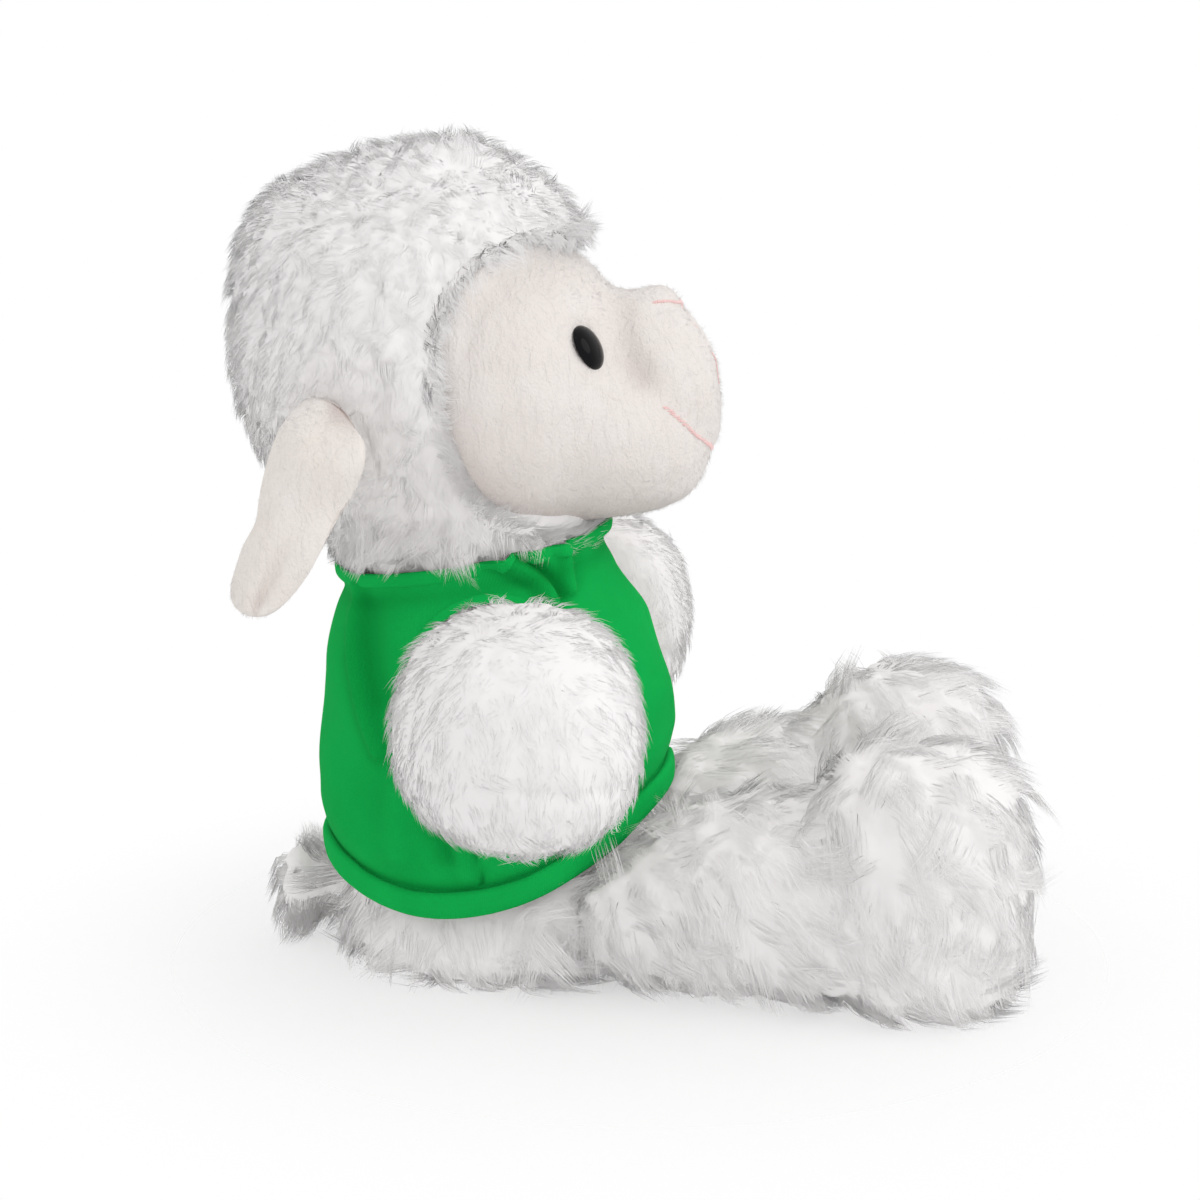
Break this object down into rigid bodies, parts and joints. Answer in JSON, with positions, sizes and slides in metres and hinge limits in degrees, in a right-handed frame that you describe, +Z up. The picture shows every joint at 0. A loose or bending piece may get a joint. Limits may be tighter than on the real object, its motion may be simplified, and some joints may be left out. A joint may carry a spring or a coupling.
{
  "type": "seated plush sheep",
  "caption": "Seated stuffed sheep with a curly wool cover, short-pile face, drop ears, stub tail and a sleeveless knit shirt; head, ears, arms, legs and tail move.",
  "frame": {"origin": "on the floor under the middle of the torso's seat", "axes": "+Z up, the sheep faces -Y, its left side is +X"},
  "size_m": [0.1936, 0.2, 0.2088],
  "materials": {
    "wool_pile": "white shaggy curled pile",
    "face_velour": "cream short-pile velour",
    "ear_velour": "cream short-pile velour",
    "fibre_fill": "white polyester fibre",
    "pellet_cloth": "plain off-white cloth",
    "shirt_jersey": "green cotton jersey knit",
    "eye_plastic": "polished black",
    "washer_plastic": "moulded white",
    "pink_thread": "pale pink embroidery thread",
    "white_thread": "white sewing thread"
  },
  "bodies": {
    "torso": {"torso_front_cover": "wool_pile", "torso_back_cover": "wool_pile", "torso_stuffing": "fibre_fill", "seat_pellet_pouch": "pellet_cloth", "shirt_front": "shirt_jersey", "shirt_back": "shirt_jersey", "shirt_collar_band": "shirt_jersey", "shirt_hem_band": "shirt_jersey", "shirt_armhole_binding_right": "shirt_jersey", "shirt_armhole_binding_left": "shirt_jersey"},
    "neck_ring": {"neck_closing_thread": "white_thread"},
    "head": {"head_wool_right": "wool_pile", "head_wool_left": "wool_pile", "face_right": "face_velour", "face_left": "face_velour", "head_stuffing": "fibre_fill", "eye_right": "eye_plastic", "eye_left": "eye_plastic", "eye_washer_right": "washer_plastic", "eye_washer_left": "washer_plastic", "nose_embroidery": "pink_thread", "mouth_embroidery": "pink_thread"},
    "ear_right": {"ear_right_outer": "ear_velour", "ear_right_inner": "ear_velour"},
    "ear_left": {"ear_left_outer": "ear_velour", "ear_left_inner": "ear_velour"},
    "arm_right": {"arm_right_cover": "wool_pile", "arm_right_stuffing": "fibre_fill"},
    "arm_left": {"arm_left_cover": "wool_pile", "arm_left_stuffing": "fibre_fill"},
    "leg_right": {"leg_right_cover": "wool_pile", "leg_right_stuffing": "fibre_fill"},
    "leg_left": {"leg_left_cover": "wool_pile", "leg_left_stuffing": "fibre_fill"},
    "tail": {"tail_cover": "wool_pile", "tail_stuffing": "fibre_fill"}
  },
  "joints": [
    {"name": "neck_turn", "type": "hinge", "parent": "torso", "child": "neck_ring", "pos_m": [0, 0.00948, 0.12682], "axis": [0, 0.1736, 0.9848], "range_deg": [-18, 18], "stiffness_Nm_per_rad": 1},
    {"name": "neck_nod", "type": "hinge", "parent": "neck_ring", "child": "head", "pos_m": [0, 0.00948, 0.12682], "axis": [1, 0, 0], "range_deg": [-8, 2], "stiffness_Nm_per_rad": 2},
    {"name": "ear_right_flap", "type": "hinge", "parent": "head", "child": "ear_right", "pos_m": [-0.04873, 0.03308, 0.14582], "axis": [0, 1, 0], "range_deg": [-3, 60], "stiffness_Nm_per_rad": 0.05},
    {"name": "ear_left_flap", "type": "hinge", "parent": "head", "child": "ear_left", "pos_m": [0.04873, 0.03308, 0.14582], "axis": [0, -1, 0], "range_deg": [-3, 60], "stiffness_Nm_per_rad": 0.05},
    {"name": "shoulder_right_lift", "type": "hinge", "parent": "torso", "child": "arm_right", "pos_m": [-0.0357, -0.003, 0.076], "axis": [0, 1, 0], "range_deg": [-15, 18], "stiffness_Nm_per_rad": 0.4},
    {"name": "shoulder_left_lift", "type": "hinge", "parent": "torso", "child": "arm_left", "pos_m": [0.0357, -0.003, 0.076], "axis": [0, -1, 0], "range_deg": [-15, 18], "stiffness_Nm_per_rad": 0.4},
    {"name": "hip_right_lift", "type": "hinge", "parent": "torso", "child": "leg_right", "pos_m": [-0.03017, -0.04305, 0.0435], "axis": [-0.9816, 0.1908, 0], "range_deg": [0, 35]},
    {"name": "hip_left_lift", "type": "hinge", "parent": "torso", "child": "leg_left", "pos_m": [0.03017, -0.04305, 0.0435], "axis": [-0.9816, -0.1908, 0], "range_deg": [0, 35]},
    {"name": "tail_wag", "type": "hinge", "parent": "torso", "child": "tail", "pos_m": [0, 0.03809, 0.0145], "axis": [0, 0, 1], "range_deg": [-20, 20], "stiffness_Nm_per_rad": 0.1}
  ]
}
